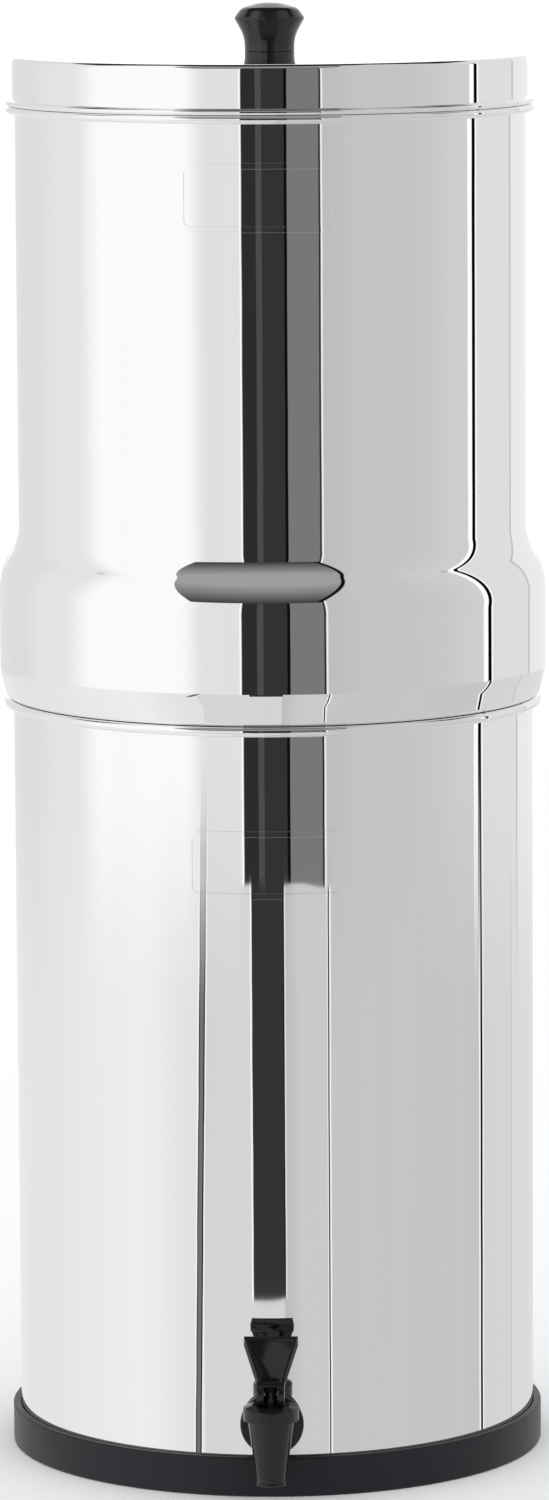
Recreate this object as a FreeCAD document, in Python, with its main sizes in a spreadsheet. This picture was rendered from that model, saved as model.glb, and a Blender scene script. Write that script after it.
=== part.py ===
import FreeCAD, Part
import Sketcher
import os
import re

# Gravity water filter: two round stainless chambers, one standing on the other, with a lift-off lid, filter
# candles in the upper chamber and a self-closing tap through the wall of the lower one.
# Millimetres, +Z up, origin on the ground under the middle of the base, tap towards -Y.

SIZES = {
    # Sheet steel and general play
    "sheet": 0.8,
    "play": 0.5,
    "fit": 0.08,
    "soft_edge": 1.2,
    "mouth_round": 1.5,
    # Base ring: a black L-shaped ring that the lower chamber stands in
    "base_skirt": 3.95,
    "base_height": 20.6,
    "base_ledge": 4.0,
    "base_ledge_width": 18.0,
    "base_gap": 0.25,
    # Lower chamber
    "lower_r": 136.6,
    "lower_height": 396.2,
    "lower_rim_out": 4.7,
    "lower_rim_thick": 5.0,
    "lower_corner": 4.0,
    # Upper chamber: from its nested foot up
    "nest_depth": 12.0,
    "nest_corner": 4.0,
    "foot_seat": 4.9,
    "foot_corner": 3.0,
    "taper_height": 14.0,
    "taper_bend": 30.0,
    "taper_out": 3.3,
    "bulge_height": 52.0,
    "flare_angle": 33.0,
    "flare_upper_bend": 25.0,
    "flare_lower_bend": 36.0,
    "flare_in": 10.4,
    "upper_height": 309.6,
    "upper_rim_out": 4.8,
    "upper_rim_thick": 4.0,
    # Lid
    "lid_out": 1.4,
    "lid_height": 25.4,
    "lid_crown": 1.7,
    "lid_land_r": 20.0,
    "lid_corner": 2.5,
    "lid_rim_out": 3.4,
    "lid_rim_thick": 3.0,
    "lid_skirt_depth": 8.0,
    # Knob, with the screw that holds it from inside the lid
    "knob_r": 18.4,
    "knob_height": 25.1,
    "knob_neck_r": 13.0,
    "knob_neck_height": 7.4,
    "knob_widest_height": 17.2,
    "knob_shoulder_r": 14.6,
    "knob_shoulder_height": 22.4,
    "knob_crown_r": 5.0,
    "knob_neck_bend": 18.0,
    "knob_edge_round": 1.6,
    "knob_shoulder_round": 6.0,
    "knob_crown_round": 24.0,
    "screw_r": 2.5,
    "screw_depth": 14.0,
    "screw_head_r": 4.75,
    "screw_head_height": 3.0,
    "screw_washer_r": 7.0,
    "screw_washer_thick": 1.0,
    # Filter candles and the holes in the upper floor
    "hole_circle_r": 88.0,
    "hole_r": 6.6,
    "candle_r": 28.5,
    "candle_height": 217.0,
    "candle_edge": 5.0,
    "candle_base_height": 12.0,
    "candle_stem_r": 6.2,
    "candle_stem_length": 25.0,
    "candle_washer_r": 16.0,
    "candle_washer_thick": 2.0,
    "wing_hub_r": 9.0,
    "wing_hub_height": 8.0,
    "wing_reach": 17.0,
    "wing_height": 13.0,
    "wing_thick": 3.0,
    "plug_flange_r": 11.0,
    "plug_flange_height": 4.0,
    "plug_foot_r": 8.5,
    "plug_foot_height": 9.0,
    "plug_tip_r": 5.0,
    # Tap: barrel and shank
    "tap_height": 38.5,
    "tap_reach": 28.0,
    "barrel_top_r": 11.9,
    "barrel_bottom_r": 7.5,
    "barrel_above": 8.1,
    "barrel_below": 25.5,
    "spout_lip": 0.6,
    "spout_lip_height": 1.2,
    "barrel_neck_r": 11.0,
    "barrel_neck_height": 5.0,
    "outlet_r": 5.6,
    "seat_hole_r": 4.4,
    "seat_below": 7.0,
    "seat_thick": 2.0,
    "valve_bore_r": 8.5,
    "shank_r": 7.8,
    "shank_bore_r": 4.8,
    "shank_inside": 16.0,
    "flange_r": 16.4,
    "flange_thick": 3.0,
    "gasket_r": 15.4,
    "gasket_thick": 2.0,
    "tap_nut_across": 24.0,
    "tap_nut_thick": 8.0,
    # Tap: bonnet, stem, cup and spring
    "bonnet_r": 14.3,
    "bonnet_height": 8.0,
    "bonnet_flat_r": 9.8,
    "bonnet_bevel": 1.6,
    "bonnet_top_thick": 2.5,
    "stem_r": 3.2,
    "stem_above_pin": 3.4,
    "cup_r": 6.6,
    "cup_lip_r": 5.8,
    "cup_height": 7.0,
    "cup_gap": 0.05,
    "cup_socket": 5.0,
    "spring_r": 5.0,
    "spring_wire_r": 0.4,
    "spring_turns": 5.0,
    # Lever, turning on a pin through the stem's head
    "pin_height": 5.4,
    "pin_r": 1.5,
    "lift_per_radian": 4.0,
    "foot_gap": 0.1,
    "lever_travel": 50.0,
    "fork_width": 14.0,
    "fork_gap": 7.0,
    "fork_heel": 4.6,
    "head_clearance_r": 4.3,
    "head_room": 5.6,
    "paddle_lean": 18.0,
    "paddle_top": 29.2,
    "paddle_bottom": 4.4,
    "paddle_top_width": 27.8,
    "paddle_face_width": 10.8,
    "paddle_back_width": 14.4,
    "paddle_thick": 5.0,
    "paddle_border": 1.7,
    "paddle_lip": 2.4,
    "paddle_recess": 1.2,
    "ledge_height": 4.4,
    "ledge_depth": 1.5,
    "rib_width": 9.0,
}

# Places and inner sizes, each worked out from the sizes above
PLACES = {
    # Base ring, round the lower chamber's wall
    "base_inner_r": "lower_r + base_gap",
    "base_r": "base_inner_r + base_skirt",
    # Lower chamber
    "lower_floor_z": "base_ledge",
    "lower_inner_r": "lower_r - sheet",
    "lower_rim_r": "lower_r + lower_rim_out",
    "lower_top_z": "lower_floor_z + lower_height",
    # Upper chamber, whose foot rests on the lower rim and nests inside it
    "foot_z": "lower_top_z",
    "nest_r": "lower_inner_r - play",
    "foot_r": "nest_r + foot_seat",
    "bulge_r": "foot_r + taper_out",
    "upper_r": "bulge_r - flare_in",
    "upper_rim_r": "upper_r + upper_rim_out",
    "upper_floor_z": "foot_z - nest_depth",
    "floor_top_z": "upper_floor_z + sheet",
    "bulge_z": "foot_z + taper_height",
    "flare_step": "flare_in / tan(flare_angle * 1deg)",
    "flare_reach": "flare_in / sin(flare_angle * 1deg) / tan(flare_angle * 0.5deg)",
    "flare_low_z": "bulge_z + bulge_height",
    "flare_high_z": "flare_low_z + flare_step",
    "upper_inner_r": "upper_r - sheet",
    "upper_top_z": "foot_z + upper_height",
    # Lid
    "lid_r": "upper_r + lid_out",
    "lid_rim_r": "lid_r + lid_rim_out",
    "lid_inner_r": "lid_r - sheet",
    "lid_skirt_r": "upper_inner_r - play",
    "lid_edge_z": "upper_top_z + lid_height",
    "lid_top_z": "lid_edge_z + lid_crown",
    "lid_under_z": "lid_top_z - sheet",
    # Candles
    "candle_base_z": "floor_top_z + candle_washer_thick",
    "candle_z": "candle_base_z + candle_base_height",
    "candle_stem_z": "upper_floor_z - candle_stem_length",
    # Tap, measured from the point where the barrel's axis crosses the shank's
    "tap_axis_r": "lower_r + tap_reach",
    "neck_top": "barrel_above + barrel_neck_height",
    "bonnet_top": "barrel_above + bonnet_height",
    "bonnet_under": "bonnet_top - bonnet_top_thick",
    "seat": "0 - seat_below",
    "cup_top": "seat + cup_gap + cup_height",
    "pin_up": "bonnet_top + pin_height",
    "shank_end": "tap_reach + sheet + shank_inside",
    "gasket_inner_face": "tap_reach + sheet + gasket_thick",
    # Lever foot: the round front of each cheek is an arc whose centre lies ahead of the pin, so that the
    # stem rises in step with the lever's turn
    "foot_turn": "lever_travel * pi / 360",
    "foot_arc_r": "pin_height - foot_gap + lift_per_radian * foot_turn",
    "foot_offset": "lift_per_radian * (1 + foot_turn * foot_turn / 8)",
    "foot_arc_y": "0 - foot_offset * cos(lever_travel * 0.5deg)",
    "foot_arc_z": "foot_offset * sin(lever_travel * 0.5deg)",
    # Lever paddle: how fast the front face narrows downwards
    "face_slope": "(paddle_top_width - paddle_face_width) / 2 / (paddle_top - paddle_bottom)",
}

# Share of a rim's thickness that each of its two rounds takes
RIM_ROUND = 0.48
# Most of the flare's slope that its upper and its lower bend may take
UPPER_BEND_SHARE = 0.4
LOWER_BEND_SHARE = 0.57
# Holes in the upper floor: every other one holds a candle, the rest are plugged
HOLES = 8
CANDLES = HOLES // 2

doc = FreeCAD.newDocument("water_filter")
cells = doc.addObject("Spreadsheet::Sheet", "Sizes")
for row, (name, size) in enumerate(SIZES.items(), start=1):
    cells.set("A%d" % row, name)
    cells.set("B%d" % row, str(size))
    cells.setAlias("B%d" % row, name)
doc.recompute()


def full(text):
    """Spell out a size: a place becomes its formula, and a named size its cell in the sheet."""
    def spell(match):
        word = match.group(0)
        if word in PLACES:
            return "(" + full(PLACES[word]) + ")"
        return "Sizes." + word if word in SIZES else word
    return re.sub(r"(?<![0-9a-z_])[a-z_][a-z_0-9]*", spell, text)


def number(text):
    """The present value of a size or place."""
    result = cells.evalExpression(full(text))
    return float(getattr(result, "Value", result))


def bind(feature, prop, text):
    """Tie one property of a feature to the sheet."""
    feature.setExpression(prop, full(text))


def new_body(label, x="0", y="0", z="0", turn=0.0):
    """An empty body, placed by its named sizes and turned about its own upright axis."""
    body = doc.addObject("PartDesign::Body", label)
    body.Placement = FreeCAD.Placement(FreeCAD.Vector(), FreeCAD.Rotation(FreeCAD.Vector(0, 0, 1), turn))
    bind(body, ".Placement.Base.x", x)
    bind(body, ".Placement.Base.y", y)
    bind(body, ".Placement.Base.z", z)
    return body


def new_sketch(body, plane_role, name):
    """A sketch on one of the body's own origin planes."""
    sketch = body.newObject("Sketcher::SketchObject", name)
    plane = next(item for item in body.Origin.OriginFeatures if item.Role == plane_role)
    sketch.AttachmentSupport = [(plane, "")]
    sketch.MapMode = "FlatFace"
    return sketch


def draw_corners(sketch, corners):
    """A closed outline of straight lines, each corner held at its named place."""
    points = [FreeCAD.Vector(number(across), number(up), 0) for across, up in corners]
    first = sketch.GeometryCount
    for index, point in enumerate(points):
        sketch.addGeometry(Part.LineSegment(point, points[(index + 1) % len(points)]), False)
    for index in range(len(points)):
        following = first + (index + 1) % len(points)
        sketch.addConstraint(Sketcher.Constraint("Coincident", first + index, 2, following, 1))
    for index, (across, up) in enumerate(corners):
        for kind, text in (("DistanceX", across), ("DistanceY", up)):
            size = points[index].x if kind == "DistanceX" else points[index].y
            added = sketch.addConstraint(Sketcher.Constraint(kind, -1, 1, first + index, 1, size))
            sketch.setExpression("Constraints[%d]" % added, full(text))


def draw_circle(sketch, across, up, radius):
    """A circle held at its named place and radius."""
    centre = FreeCAD.Vector(number(across), number(up), 0)
    size = number(radius)
    ring = sketch.addGeometry(Part.Circle(centre, FreeCAD.Vector(0, 0, 1), size), False)
    for kind, text, value in (("DistanceX", across, centre.x), ("DistanceY", up, centre.y)):
        added = sketch.addConstraint(Sketcher.Constraint(kind, -1, 1, ring, 3, value))
        sketch.setExpression("Constraints[%d]" % added, full(text))
    added = sketch.addConstraint(Sketcher.Constraint("Radius", ring, size))
    sketch.setExpression("Constraints[%d]" % added, full(radius))


def revolve(body, corners, name="turned", plane_role="XZ_Plane", axis="V_Axis", cut=False):
    """Turn an outline round one of the sketch's axes, adding to the body or cutting it."""
    sketch = new_sketch(body, plane_role, name + "_outline")
    draw_corners(sketch, corners)
    feature = body.newObject("PartDesign::Groove" if cut else "PartDesign::Revolution", name)
    feature.Profile = sketch
    feature.ReferenceAxis = (sketch, [axis])
    feature.Angle = 360.0
    doc.recompute()
    return feature


def extrude(body, sketch, name, length, cut=False):
    """Pad or pocket a sketch by the same amount to both sides of its plane."""
    feature = body.newObject("PartDesign::Pocket" if cut else "PartDesign::Pad", name)
    feature.Profile = sketch
    feature.Midplane = True
    bind(feature, "Length", length)
    doc.recompute()
    return feature


def rim_edges(shape, radius, height, axis="z"):
    """Names of the circular edges that lie at a radius and height on the body's own axis."""
    found = []
    for index, edge in enumerate(shape.Edges, start=1):
        curve = edge.Curve
        if not isinstance(curve, Part.Circle) or abs(curve.Radius - radius) > 0.01:
            continue
        if abs(getattr(curve.Center, axis) - height) < 0.01:
            found.append("Edge%d" % index)
    return found


def round_rim(body, radius, height, size, axis="z"):
    """Round the circular edge at a named radius and height."""
    base = body.Tip
    names = rim_edges(base.Shape, number(radius), number(height), axis)
    feature = body.newObject("PartDesign::Fillet", "rounded_edge")
    feature.Base = (base, names)
    bind(feature, "Radius", size)
    doc.recompute()
    return feature


def hollow(body, height):
    """Leave a sheet's thickness of the solid, open at the flat face at the given height."""
    base = body.Tip
    names = []
    for index, face in enumerate(base.Shape.Faces, start=1):
        flat = isinstance(face.Surface, Part.Plane)
        if flat and abs(face.CenterOfMass.z - height) < 0.01:
            names.append("Face%d" % index)
    feature = body.newObject("PartDesign::Thickness", "sheet_wall")
    feature.Base = (base, names)
    feature.Reversed = True
    bind(feature, "Value", "sheet")
    doc.recompute()
    return feature


def drill_circle(body, height, depth, count):
    """Equal holes on one circle through a floor: one is cut, and a pattern repeats it."""
    sketch = new_sketch(body, "XY_Plane", "hole_outline")
    draw_circle(sketch, "hole_circle_r", "0", "hole_r")
    bind(sketch, ".AttachmentOffset.Base.z", height)
    hole = extrude(body, sketch, "floor_hole", depth, cut=True)
    pattern = body.newObject("PartDesign::PolarPattern", "floor_holes")
    pattern.Originals = [hole]
    pattern.Axis = (sketch, ["N_Axis"])
    pattern.Angle = 360.0
    pattern.Occurrences = count
    body.Tip = pattern
    doc.recompute()
    return pattern


def add_rim(body, inner_r, outer_r, top_z, thick):
    """A rolled rim: a ring on the wall's edge with a round outer side and a softened mouth."""
    low = "%s - %s" % (top_z, thick)
    revolve(body, [(inner_r, low), (outer_r, low), (outer_r, top_z), (inner_r, top_z)], "rolled_rim")
    round_rim(body, outer_r, top_z, "%s * %s" % (thick, RIM_ROUND))
    round_rim(body, outer_r, low, "%s * %s" % (thick, RIM_ROUND))
    round_rim(body, inner_r, top_z, "mouth_round")


def copies_on_circle(label, single, count, first_turn):
    """One node of equal solids: the single piece repeated round the upright axis."""
    node = doc.addObject("Part::Feature", label)
    step = 360.0 / count
    axis = FreeCAD.Vector(0, 0, 1)
    pieces = []
    for index in range(count):
        piece = single.Shape.copy()
        piece.rotate(FreeCAD.Vector(), axis, first_turn + index * step)
        pieces.append(piece)
    node.Shape = Part.makeCompound(pieces)
    return node


def make_base_ring():
    """A one-piece black ring: an upright skirt outside the chamber and a ledge under its floor."""
    body = new_body("base_ring")
    ledge_r = "lower_r - base_ledge_width"
    revolve(body, [(ledge_r, "0"), ("base_r", "0"), ("base_r", "base_height"),
                   ("base_inner_r", "base_height"), ("base_inner_r", "base_ledge"), (ledge_r, "base_ledge")])
    round_rim(body, "base_r", "base_height", "soft_edge")
    round_rim(body, "base_r", "0", "soft_edge")
    return body


def make_lower_chamber():
    """A drawn stainless shell with a flat floor, a rolled rim and the hole for the tap's shank."""
    body = new_body("lower_chamber")
    wall_top = "lower_top_z - lower_rim_thick / 2"
    revolve(body, [("0", "lower_floor_z"), ("lower_r", "lower_floor_z"), ("lower_r", wall_top),
                   ("0", wall_top)])
    round_rim(body, "lower_r", "lower_floor_z", "lower_corner")
    hollow(body, number(wall_top))
    add_rim(body, "lower_inner_r", "lower_rim_r", "lower_top_z", "lower_rim_thick")
    sketch = new_sketch(body, "XZ_Plane", "tap_hole_outline")
    draw_circle(sketch, "0", "tap_height", "shank_r + fit")
    hole = body.newObject("PartDesign::Pocket", "tap_hole")
    hole.Profile = sketch
    hole.Reversed = True
    bind(hole, "Length", "lower_r + play")
    doc.recompute()
    return body


def make_upper_chamber():
    """A stainless shell: straight wall with rolled rim, flared foot, and a floor that nests in the rim below."""
    body = new_body("upper_chamber")
    wall_top = "upper_top_z - upper_rim_thick / 2"
    revolve(body, [("0", "upper_floor_z"), ("nest_r", "upper_floor_z"), ("nest_r", "foot_z"),
                   ("foot_r", "foot_z"), ("bulge_r", "bulge_z"), ("bulge_r", "flare_low_z"),
                   ("upper_r", "flare_high_z"), ("upper_r", wall_top), ("0", wall_top)])
    # The two bends of the flare share its slope, so neither can be wider than its part of it
    round_rim(body, "upper_r", "flare_high_z", "min(flare_upper_bend; flare_reach * %s)" % UPPER_BEND_SHARE)
    round_rim(body, "bulge_r", "flare_low_z", "min(flare_lower_bend; flare_reach * %s)" % LOWER_BEND_SHARE)
    round_rim(body, "bulge_r", "bulge_z", "taper_bend")
    round_rim(body, "foot_r", "foot_z", "foot_corner")
    round_rim(body, "nest_r", "foot_z", "sheet")
    round_rim(body, "nest_r", "upper_floor_z", "nest_corner")
    hollow(body, number(wall_top))
    add_rim(body, "upper_inner_r", "upper_rim_r", "upper_top_z", "upper_rim_thick")
    drill_circle(body, "upper_floor_z", "sheet * 4", HOLES)
    return body


def make_lid_shell():
    """A pressed lid: crowned top with a screw hole, straight wall, rolled bead and a skirt that centres it."""
    body = new_body("lid_shell")
    wall_foot = "upper_top_z + lid_rim_thick / 2"
    revolve(body, [("0", wall_foot), ("lid_r", wall_foot), ("lid_r", "lid_edge_z"),
                   ("lid_land_r", "lid_top_z"), ("0", "lid_top_z")])
    round_rim(body, "lid_r", "lid_edge_z", "lid_corner")
    hollow(body, number(wall_foot))
    skirt_in = "lid_skirt_r - sheet"
    skirt_foot = "upper_top_z - lid_skirt_depth"
    web_top = "upper_top_z + sheet"
    rim_top = "upper_top_z + lid_rim_thick"
    revolve(body, [(skirt_in, skirt_foot), ("lid_skirt_r", skirt_foot), ("lid_skirt_r", "upper_top_z"),
                   ("lid_rim_r", "upper_top_z"), ("lid_rim_r", rim_top), ("lid_inner_r", rim_top),
                   ("lid_inner_r", web_top), (skirt_in, web_top)], "rolled_bead")
    round_rim(body, "lid_rim_r", rim_top, "lid_rim_thick * %s" % RIM_ROUND)
    round_rim(body, "lid_rim_r", "upper_top_z", "lid_rim_thick * %s" % RIM_ROUND)
    revolve(body, [("0", "lid_under_z - sheet"), ("screw_r + fit", "lid_under_z - sheet"),
                   ("screw_r + fit", "lid_top_z + sheet"), ("0", "lid_top_z + sheet")], "screw_hole", cut=True)
    return body


def make_knob():
    """A moulded knob: neck, concave flare, soft widest edge and a low flat dome, with a blind hole for its screw."""
    body = new_body("lid_knob", z="lid_top_z")
    bore_r = "screw_r + fit"
    bore_top = "screw_depth + play"
    revolve(body, [(bore_r, "0"), ("knob_neck_r", "0"), ("knob_neck_r", "knob_neck_height"),
                   ("knob_r", "knob_widest_height"), ("knob_shoulder_r", "knob_shoulder_height"),
                   ("knob_crown_r", "knob_height"), ("0", "knob_height"), ("0", bore_top), (bore_r, bore_top)])
    round_rim(body, "knob_neck_r", "knob_neck_height", "knob_neck_bend")
    round_rim(body, "knob_r", "knob_widest_height", "knob_edge_round")
    round_rim(body, "knob_shoulder_r", "knob_shoulder_height", "knob_shoulder_round")
    round_rim(body, "knob_crown_r", "knob_height", "knob_crown_round")
    return body


def make_knob_washer():
    """A flat steel washer under the middle of the lid."""
    body = new_body("knob_washer", z="lid_under_z - screw_washer_thick")
    inner_r = "screw_r + fit"
    revolve(body, [(inner_r, "0"), ("screw_washer_r", "0"), ("screw_washer_r", "screw_washer_thick"),
                   (inner_r, "screw_washer_thick")])
    return body


def make_knob_screw():
    """A pan head screw up through washer and lid into the knob, with a cross slot cut as one bar."""
    body = new_body("knob_screw", z="lid_under_z - screw_washer_thick")
    tip = "screw_washer_thick + sheet + screw_depth"
    revolve(body, [("0", "0 - screw_head_height"), ("screw_head_r", "0 - screw_head_height"),
                   ("screw_head_r", "0"), ("screw_r", "0"), ("screw_r", tip), ("0", tip)])
    round_rim(body, "screw_head_r", "0 - screw_head_height", "soft_edge")
    sketch = new_sketch(body, "XY_Plane", "slot_outline")
    bind(sketch, ".AttachmentOffset.Base.z", "0 - screw_head_height")
    long_side = "screw_head_r * 0.6"
    narrow = "screw_r * 0.2"
    draw_corners(sketch, [("0 - (%s)" % long_side, "0 - (%s)" % narrow), (long_side, "0 - (%s)" % narrow),
                          (long_side, narrow), ("0 - (%s)" % long_side, narrow)])
    extrude(body, sketch, "driver_slot", "screw_head_height", cut=True)
    return body


def make_candle(order):
    """A black filter candle: a plain cylinder with soft edges, glued on its base."""
    turn = order * 360.0 / CANDLES
    across = "hole_circle_r * cos(%gdeg)" % turn
    along = "hole_circle_r * sin(%gdeg)" % turn
    body = new_body("filter_element_%d" % (order + 1), across, along, "candle_z")
    revolve(body, [("0", "0"), ("candle_r", "0"), ("candle_r", "candle_height"), ("0", "candle_height")])
    round_rim(body, "candle_r", "candle_height", "candle_edge")
    return body


def make_candle_base(order):
    """The candle's plastic foot, with the hollow threaded stem that passes down through the floor."""
    turn = order * 360.0 / CANDLES
    across = "hole_circle_r * cos(%gdeg)" % turn
    along = "hole_circle_r * sin(%gdeg)" % turn
    body = new_body("element_base_%d" % (order + 1), across, along, "candle_base_z")
    tip = "candle_stem_z - candle_base_z"
    bore_r = "candle_stem_r / 2"
    revolve(body, [(bore_r, tip), ("candle_stem_r", tip), ("candle_stem_r", "0"),
                   ("candle_r * 0.8", "0"), ("candle_r", "candle_base_height * 0.3"),
                   ("candle_r", "candle_base_height"), (bore_r, "candle_base_height")])
    return body


def make_candle_washer():
    """One sealing washer, on the floor under a candle's base."""
    body = new_body("one_element_washer", "hole_circle_r", "0", "floor_top_z")
    inner_r = "candle_stem_r + fit"
    revolve(body, [(inner_r, "0"), ("candle_washer_r", "0"), ("candle_washer_r", "candle_washer_thick"),
                   (inner_r, "candle_washer_thick")])
    return body


def make_wing_nut():
    """One wing nut, drawn up against the floor from below."""
    body = new_body("one_wing_nut", "hole_circle_r", "0", "upper_floor_z")
    low = "0 - wing_hub_height"
    revolve(body, [("0", low), ("wing_hub_r", low), ("wing_hub_r", "0"), ("0", "0")], "hub")
    sketch = new_sketch(body, "YZ_Plane", "wing_outline")
    tip = "0 - wing_height"
    draw_corners(sketch, [("0 - wing_hub_r / 2", low), ("0 - wing_reach", tip), ("0 - wing_reach", "0 - play"),
                          ("wing_reach", "0 - play"), ("wing_reach", tip), ("wing_hub_r / 2", low)])
    extrude(body, sketch, "wings", "wing_thick")
    inner_r = "candle_stem_r + fit"
    revolve(body, [("0", "%s - play" % tip), (inner_r, "%s - play" % tip), (inner_r, "play"), ("0", "play")],
            "thread_bore", cut=True)
    return body


def make_blocking_plug(order):
    """A rubber stopper pushed into a hole that has no candle: flange above, swelling foot below."""
    turn = (order + 0.5) * 360.0 / CANDLES
    across = "hole_circle_r * cos(%gdeg)" % turn
    along = "hole_circle_r * sin(%gdeg)" % turn
    body = new_body("blocking_plug_%d" % (order + 1), across, along, "floor_top_z")
    waist_r = "hole_r - fit"
    under = "0 - sheet - fit"
    tip = "0 - sheet - plug_foot_height"
    revolve(body, [("0", tip), ("plug_tip_r", tip), ("plug_foot_r", under), (waist_r, under),
                   (waist_r, "0"), ("plug_flange_r", "0"), ("plug_flange_r", "plug_flange_height"),
                   ("0", "plug_flange_height")])
    round_rim(body, "plug_flange_r", "plug_flange_height", "soft_edge")
    return body


def tap_piece(label):
    """A body whose own axes cross where the tap's barrel meets its shank."""
    return new_body(label, "0", "0 - tap_axis_r", "tap_height")


def make_tap_body():
    """One moulding: conical barrel with spout and valve seat, round shank and wall flange."""
    body = tap_piece("tap_body")
    foot = "0 - barrel_below"
    lip_top = "0 - barrel_below + spout_lip_height"
    revolve(body, [("0", foot), ("barrel_bottom_r + spout_lip", foot),
                   ("barrel_bottom_r + spout_lip", lip_top), ("barrel_bottom_r", lip_top),
                   ("barrel_top_r", "barrel_above"), ("barrel_neck_r", "barrel_above"),
                   ("barrel_neck_r", "neck_top"), ("0", "neck_top")], "barrel")
    flange_face = "tap_reach - gasket_thick"
    flange_back = "tap_reach - gasket_thick - flange_thick"
    revolve(body, [("0", "0"), ("0", "shank_r"), (flange_back, "shank_r"), (flange_back, "flange_r"),
                   (flange_face, "flange_r"), (flange_face, "shank_r"), ("shank_end", "shank_r"),
                   ("shank_end", "0")], "shank", "YZ_Plane", "H_Axis")
    revolve(body, [("0", "seat"), ("valve_bore_r", "seat"), ("valve_bore_r", "neck_top + play"),
                   ("0", "neck_top + play")], "valve_bore", cut=True)
    under = "seat - seat_thick"
    low = "0 - barrel_below - play"
    revolve(body, [("0", low), ("outlet_r", low), ("outlet_r", under), ("seat_hole_r", under),
                   ("seat_hole_r", "seat + play"), ("0", "seat + play")], "outlet", cut=True)
    revolve(body, [("0", "0"), ("0", "shank_bore_r"), ("shank_end + play", "shank_bore_r"),
                   ("shank_end + play", "0")], "shank_bore", "YZ_Plane", "H_Axis", cut=True)
    return body


def washer_on_wall(label, near, far, outside):
    """A soft washer on the shank, pressed to the curve of the chamber's wall."""
    bore = doc.addObject("Part::Cylinder", label + "_bore")
    disc = doc.addObject("Part::Cylinder", label + "_disc")
    wall = doc.addObject("Part::Cylinder", label + "_wall")
    lie_down = FreeCAD.Rotation(FreeCAD.Vector(1, 0, 0), -90)
    for piece, radius in ((bore, "shank_r + fit"), (disc, "gasket_r")):
        piece.Placement = FreeCAD.Placement(FreeCAD.Vector(), lie_down)
        bind(piece, "Radius", radius)
        bind(piece, "Height", "%s - (%s)" % (far, near))
        bind(piece, ".Placement.Base.y", "%s - tap_axis_r" % near)
        bind(piece, ".Placement.Base.z", "tap_height")
    bind(wall, "Radius", "lower_r" if outside else "lower_inner_r")
    bind(wall, "Height", "tap_height * 2")
    ring = doc.addObject("Part::Cut", label + "_ring")
    ring.Base = disc
    ring.Tool = bore
    node = doc.addObject("Part::Cut" if outside else "Part::MultiCommon", label)
    if outside:
        node.Base = ring
        node.Tool = wall
    else:
        node.Shapes = [ring, wall]
    doc.recompute()
    return node


def make_tap_nut():
    """A six-sided nut on the shank, drawn up to the inner washer."""
    blank = doc.addObject("Part::Prism", "tap_nut_blank")
    bore = doc.addObject("Part::Cylinder", "tap_nut_bore")
    lie_down = FreeCAD.Rotation(FreeCAD.Vector(1, 0, 0), -90)
    blank.Polygon = 6
    bind(blank, "Circumradius", "tap_nut_across / 2 / cos(30deg)")
    bind(bore, "Radius", "shank_r + fit")
    for piece in (blank, bore):
        piece.Placement = FreeCAD.Placement(FreeCAD.Vector(), lie_down)
        bind(piece, "Height", "tap_nut_thick")
        bind(piece, ".Placement.Base.y", "gasket_inner_face - tap_axis_r")
        bind(piece, ".Placement.Base.z", "tap_height")
    node = doc.addObject("Part::Cut", "tap_nut")
    node.Base = blank
    node.Tool = bore
    doc.recompute()
    return node


def make_bonnet():
    """The cap screwed over the barrel's neck; the lever's foot rides on its flat top."""
    body = tap_piece("tap_bonnet")
    inner_r = "barrel_neck_r + fit"
    room_r = "valve_bore_r"
    hole_r = "stem_r + fit"
    step = "neck_top + fit"
    revolve(body, [(inner_r, "barrel_above"), ("bonnet_r", "barrel_above"),
                   ("bonnet_r", "bonnet_top - bonnet_bevel"), ("bonnet_flat_r", "bonnet_top"),
                   (hole_r, "bonnet_top"), (hole_r, "bonnet_under"), (room_r, "bonnet_under"),
                   (room_r, step), (inner_r, step)])
    return body


def make_stem():
    """The plastic rod through the bonnet: domed head with the pin's cross hole, thinner foot in the cup."""
    body = tap_piece("tap_stem")
    foot = "cup_top - cup_socket"
    foot_r = "stem_r * 0.6"
    head = "pin_up + stem_above_pin"
    revolve(body, [("0", foot), (foot_r, foot), (foot_r, "cup_top"), ("stem_r", "cup_top"),
                   ("stem_r", head), ("0", head)])
    round_rim(body, "stem_r", head, "stem_r * 0.7")
    sketch = new_sketch(body, "YZ_Plane", "pin_hole_outline")
    draw_circle(sketch, "0", "pin_up", "pin_r + fit")
    extrude(body, sketch, "pin_hole", "stem_r * 4", cut=True)
    return body


def make_seat_cup():
    """The soft cup on the stem's foot, flat on the valve seat when the tap is shut."""
    body = tap_piece("seat_cup")
    low = "seat + cup_gap"
    socket_r = "stem_r * 0.6"
    socket_foot = "cup_top - cup_socket"
    revolve(body, [("0", low), ("cup_lip_r", low), ("cup_r", "%s + cup_height / 3" % low), ("cup_r", "cup_top"),
                   (socket_r, "cup_top"), (socket_r, socket_foot), ("0", socket_foot)])
    return body


def make_spring():
    """An open coil of steel wire round the stem, between the cup and the bonnet's underside."""
    body = tap_piece("tap_spring")
    sketch = new_sketch(body, "XZ_Plane", "wire_section")
    draw_circle(sketch, "spring_r", "cup_top + spring_wire_r", "spring_wire_r")
    coil = body.newObject("PartDesign::AdditiveHelix", "coil")
    coil.Profile = sketch
    coil.ReferenceAxis = (sketch, ["V_Axis"])
    coil.Mode = "height-turns-angle"
    bind(coil, "Height", "bonnet_under - (cup_top) - 2 * spring_wire_r")
    bind(coil, "Turns", "spring_turns")
    doc.recompute()
    return body


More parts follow.
